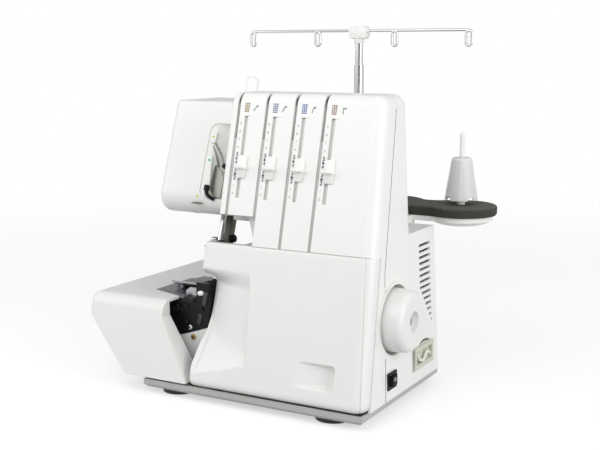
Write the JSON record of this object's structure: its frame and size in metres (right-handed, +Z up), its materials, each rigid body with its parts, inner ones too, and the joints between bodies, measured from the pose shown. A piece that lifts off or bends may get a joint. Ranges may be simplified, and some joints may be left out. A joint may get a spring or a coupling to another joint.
{
  "type": "overlock sewing machine",
  "caption": "Home overlock sewing machine with leaning tension panel, handwheel, cloth plate, tip-out front cover and a rear spool stand with a telescopic thread mast.",
  "frame": {"origin": "on the table under the middle of the machine's box", "axes": "X to the machine's right (handwheel side), Y to its back (spool stand side), Z up"},
  "size_m": [0.355, 0.255, 0.355],
  "materials": {
    "white_abs": "satin moulded",
    "grey_abs": "fine grain",
    "foot_rubber": "matte",
    "cast_frame": "as cast",
    "ground_steel": "ground",
    "bright_plate": "polished",
    "bronze": "turned",
    "black_moulding": "satin",
    "black_steel": "black oxide",
    "motor_can": "satin",
    "belt_rubber": "matte",
    "foam": "open cell",
    "cone_plastic": "smooth",
    "inlet_plastic": "satin",
    "lens": "frosted"
  },
  "bodies": {
    "machine": {"base_pan": "grey_abs", "rubber_feet": "foot_rubber", "frame_screws": "bright_plate", "machine_frame": "cast_frame", "plate_hinge_pin": "ground_steel", "shaft_bushes": "bronze", "bar_bushes": "bronze", "motor": "motor_can", "motor_bracket": "ground_steel", "drive_belt": "belt_rubber", "front_housing": "white_abs", "rear_housing": "white_abs", "face_cover": "white_abs", "arm_cover": "white_abs", "lamp_lens": "lens", "needle_plate": "ground_steel", "lower_knife": "ground_steel", "looper_guard": "black_steel", "inner_cover": "white_abs", "thread_guides": "white_abs", "tension_discs": "bright_plate", "switch_body": "grey_abs", "power_inlet": "inlet_plastic", "inlet_contacts": "bright_plate", "spool_stand": "white_abs", "spool_pad": "foam", "spool_pins": "white_abs", "spool_cones": "cone_plastic", "mast_outer_tube": "bright_plate"},
    "drive": {"handwheel": "white_abs", "main_shaft": "ground_steel", "drive_pulley": "black_moulding"},
    "spindle": {"motor_rotor": "ground_steel"},
    "needle_carrier": {"needle_bar": "bright_plate", "needle_clamp": "black_steel", "needles": "bright_plate", "clamp_screws": "bright_plate"},
    "presser": {"presser_bar": "bright_plate", "presser_foot": "ground_steel"},
    "lifter": {"presser_lever": "grey_abs"},
    "knob": {"pressure_knob": "white_abs"},
    "feed": {"feed_dogs": "ground_steel"},
    "knife": {"upper_knife": "ground_steel"},
    "low_looper": {"lower_looper": "bright_plate"},
    "high_looper": {"upper_looper": "bright_plate"},
    "take_up": {"take_up_lever": "black_steel"},
    "tension_1": {"tension_slider_1": "white_abs"},
    "tension_2": {"tension_slider_2": "white_abs"},
    "tension_3": {"tension_slider_3": "white_abs"},
    "tension_4": {"tension_slider_4": "white_abs"},
    "cover_carrier": {"cover_hinge_rod": "ground_steel"},
    "cover": {"front_cover": "white_abs"},
    "cloth": {"cloth_plate": "white_abs"},
    "rocker": {"power_rocker": "black_moulding"},
    "length_dial": {"stitch_length_dial": "white_abs"},
    "feed_dial": {"differential_dial": "white_abs"},
    "mast_middle": {"mast_middle_tube": "bright_plate"},
    "mast_top": {"mast_top_tube": "bright_plate"},
    "guide_head": {"bar_holder": "white_abs", "thread_guide_bar": "bright_plate"}
  },
  "joints": [
    {"name": "handwheel_turn", "type": "hinge", "parent": "machine", "child": "drive", "pos_m": [0.14, -0.055, 0.086], "axis": [1, 0, 0], "continuous": true},
    {"name": "motor_turn", "type": "hinge", "parent": "machine", "child": "spindle", "pos_m": [0.1, 0.006, 0.062], "axis": [1, 0, 0], "continuous": true},
    {"name": "needle_bar_stroke", "type": "slide", "parent": "machine", "child": "needle_carrier", "axis": [0, -0.309, -0.9511], "range_m": [0, 0.022]},
    {"name": "feed_drop", "type": "slide", "parent": "machine", "child": "feed", "axis": [0, 0, -1], "range_m": [0, 0.004]},
    {"name": "upper_knife_cut", "type": "slide", "parent": "machine", "child": "knife", "axis": [0, 0, -1], "range_m": [0, 0.01]},
    {"name": "lower_looper_swing", "type": "hinge", "parent": "machine", "child": "low_looper", "pos_m": [-0.05, -0.0295, 0.04], "axis": [0, 1, 0], "range_deg": [0, 18]},
    {"name": "upper_looper_swing", "type": "hinge", "parent": "machine", "child": "high_looper", "pos_m": [-0.036, -0.0405, 0.044], "axis": [0, 1, 0], "range_deg": [0, 15]},
    {"name": "take_up_swing", "type": "hinge", "parent": "machine", "child": "take_up", "pos_m": [-0.0645, 0.0095, 0.196], "axis": [1, 0, 0], "range_deg": [0, 15]},
    {"name": "presser_lever_lift", "type": "hinge", "parent": "machine", "child": "lifter", "pos_m": [-0.088, 0.06, 0.216], "axis": [0, -1, 0], "range_deg": [0, 75]},
    {"name": "presser_bar_lift", "type": "slide", "parent": "machine", "child": "presser", "axis": [0, 0.309, 0.9511], "range_m": [0, 0.005]},
    {"name": "pressure_knob_turn", "type": "hinge", "parent": "machine", "child": "knob", "pos_m": [-0.0855, 0.05151, 0.27916], "axis": [0, 0.309, 0.9511], "range_deg": [-360, 360]},
    {"name": "tension_1_slide", "type": "slide", "parent": "machine", "child": "tension_1", "axis": [0, 0.2416, 0.9704], "range_m": [-0.018, 0.033]},
    {"name": "tension_2_slide", "type": "slide", "parent": "machine", "child": "tension_2", "axis": [0, 0.2416, 0.9704], "range_m": [-0.018, 0.033]},
    {"name": "tension_3_slide", "type": "slide", "parent": "machine", "child": "tension_3", "axis": [0, 0.2416, 0.9704], "range_m": [-0.018, 0.033]},
    {"name": "tension_4_slide", "type": "slide", "parent": "machine", "child": "tension_4", "axis": [0, 0.2416, 0.9704], "range_m": [-0.018, 0.033]},
    {"name": "cover_slide", "type": "slide", "parent": "machine", "child": "cover_carrier", "axis": [1, 0, 0], "range_m": [0, 0.008]},
    {"name": "cover_hinge", "type": "hinge", "parent": "cover_carrier", "child": "cover", "pos_m": [0.03, -0.12022, 0.0204], "axis": [1, 0, 0], "range_deg": [0, 70]},
    {"name": "cloth_plate_swing", "type": "hinge", "parent": "machine", "child": "cloth", "pos_m": [-0.076, 0.07, 0.07], "axis": [0, 0, 1], "range_deg": [-60, 0]},
    {"name": "power_rocker_tilt", "type": "hinge", "parent": "machine", "child": "rocker", "pos_m": [0.13601, -0.0665, 0.032], "axis": [0, 0, 1], "range_deg": [-14, 0]},
    {"name": "stitch_length_turn", "type": "hinge", "parent": "machine", "child": "length_dial", "pos_m": [-0.055, 0.024, 0.138], "axis": [1, 0, 0], "range_deg": [0, 270]},
    {"name": "differential_turn", "type": "hinge", "parent": "machine", "child": "feed_dial", "pos_m": [-0.055, 0.024, 0.11], "axis": [1, 0, 0], "range_deg": [-60, 150]},
    {"name": "mast_middle_slide", "type": "slide", "parent": "machine", "child": "mast_middle", "axis": [0, 0, 1], "range_m": [-0.046, 0.03]},
    {"name": "mast_top_slide", "type": "slide", "parent": "mast_middle", "child": "mast_top", "axis": [0, 0, 1], "range_m": [-0.022, 0.03]},
    {"name": "guide_bar_swivel", "type": "hinge", "parent": "mast_top", "child": "guide_head", "pos_m": [0.021, 0.098, 0.346], "axis": [0, 0, 1], "range_deg": [-6, 6]}
  ],
  "couplings": [
    {"joint": "motor_turn", "follows": "handwheel_turn", "ratio": 2.8889},
    {"joint": "feed_drop", "follows": "needle_bar_stroke", "ratio": 0.18164},
    {"joint": "upper_knife_cut", "follows": "needle_bar_stroke", "ratio": 0.45409},
    {"joint": "lower_looper_swing", "follows": "needle_bar_stroke", "rad_per_m": 14.266},
    {"joint": "upper_looper_swing", "follows": "needle_bar_stroke", "rad_per_m": 11.888},
    {"joint": "take_up_swing", "follows": "needle_bar_stroke", "rad_per_m": 11.888},
    {"joint": "presser_lever_lift", "follows": "presser_bar_lift", "rad_per_m": 261.54}
  ]
}
